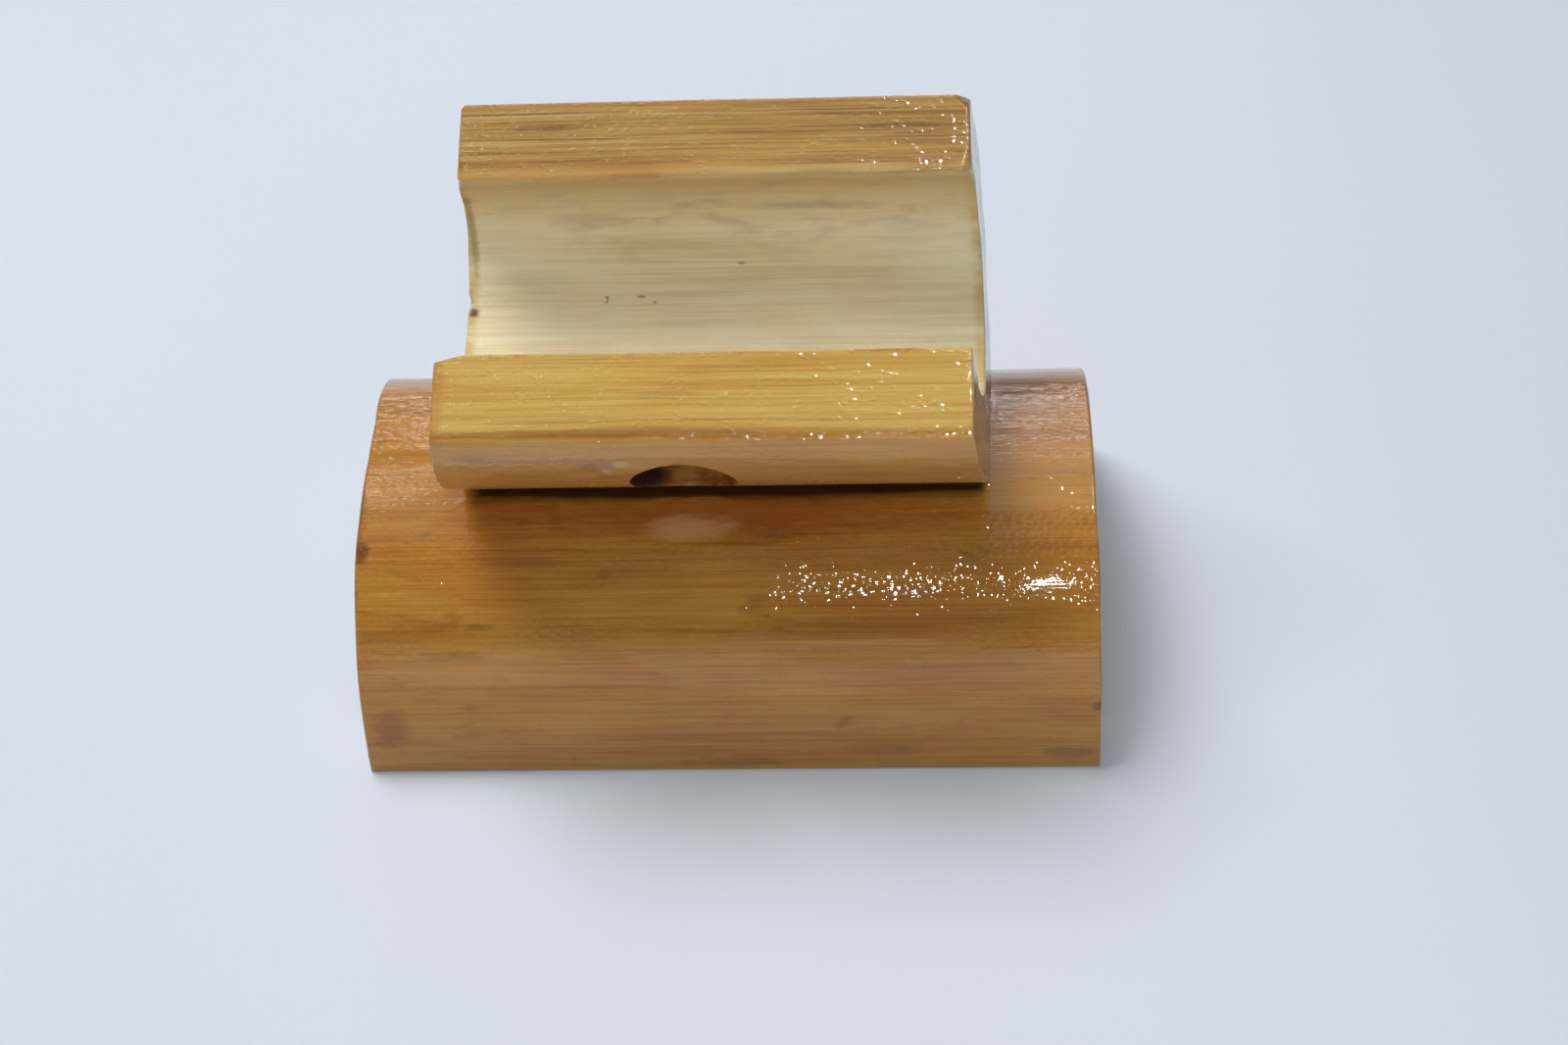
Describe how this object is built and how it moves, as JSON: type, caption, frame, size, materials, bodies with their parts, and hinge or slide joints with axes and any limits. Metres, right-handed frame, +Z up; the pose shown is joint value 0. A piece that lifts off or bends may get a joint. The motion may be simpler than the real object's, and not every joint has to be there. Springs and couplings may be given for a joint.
{
  "type": "phone stand",
  "caption": "Desk phone stand of lacquered bamboo: a halved culm is the foot, and a culm sawn open along its length lies across it as the trough, with a cable outlet low in its front wall.",
  "frame": {"origin": "centre of the resting face, under the middle of the foot", "axes": "+X along both culms, +Y towards the back rest, +Z up; the user sits on the -Y side"},
  "size_m": [0.11, 0.0716, 0.0812],
  "materials": {
    "base_bamboo": "gloss lacquer over orange-brown bamboo skin, bare sawn end grain",
    "cradle_bamboo": "gloss lacquer over golden bamboo, straight-grained sawn rims and a pale inner wall",
    "wood_glue": "dried amber wood glue",
    "screw_steel": "yellow-zinc plated"
  },
  "bodies": {
    "root": {"base_culm": "base_bamboo", "cradle_culm": "cradle_bamboo", "glue_bed": "wood_glue", "joint_screws": "screw_steel"}
  },
  "joints": []
}
